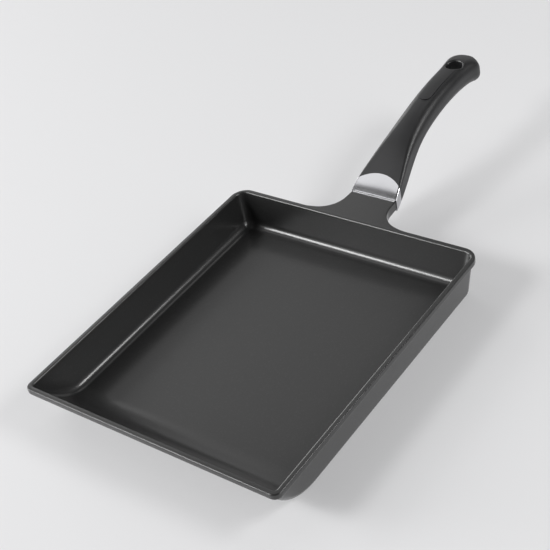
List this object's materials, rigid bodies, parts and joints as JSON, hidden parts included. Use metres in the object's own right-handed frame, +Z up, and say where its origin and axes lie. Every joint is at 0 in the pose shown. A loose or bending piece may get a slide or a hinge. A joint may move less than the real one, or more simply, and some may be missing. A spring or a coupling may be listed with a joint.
{
  "type": "tamagoyaki pan",
  "caption": "Rectangular cast frying pan for rolled omelettes, with a swept front wall, a thick rolled-over lip and a fixed curved handle with a hang hole.",
  "frame": {"origin": "centre of the rim's rectangle, on the flat base that the pan rests on", "axes": "+Y from the tray to the handle, +Z up out of the tray, +X to the right seen from the front wall"},
  "size_m": [0.19, 0.3798, 0.0642],
  "materials": {
    "nonstick_aluminium": "satin black nonstick coating with a fine speckle on die-cast aluminium",
    "guard_steel": "polished sheet",
    "grip_phenolic": "satin black phenolic moulding",
    "insert_phenolic": "satin black phenolic moulding",
    "fastener_steel": "zinc plated"
  },
  "bodies": {
    "root": {"pan_body": "nonstick_aluminium", "flame_guard": "guard_steel", "handle_grip": "grip_phenolic", "hang_hole_insert": "insert_phenolic", "thread_insert": "fastener_steel", "handle_screw": "fastener_steel", "flat_washer": "fastener_steel", "spring_washer": "fastener_steel"}
  },
  "joints": []
}
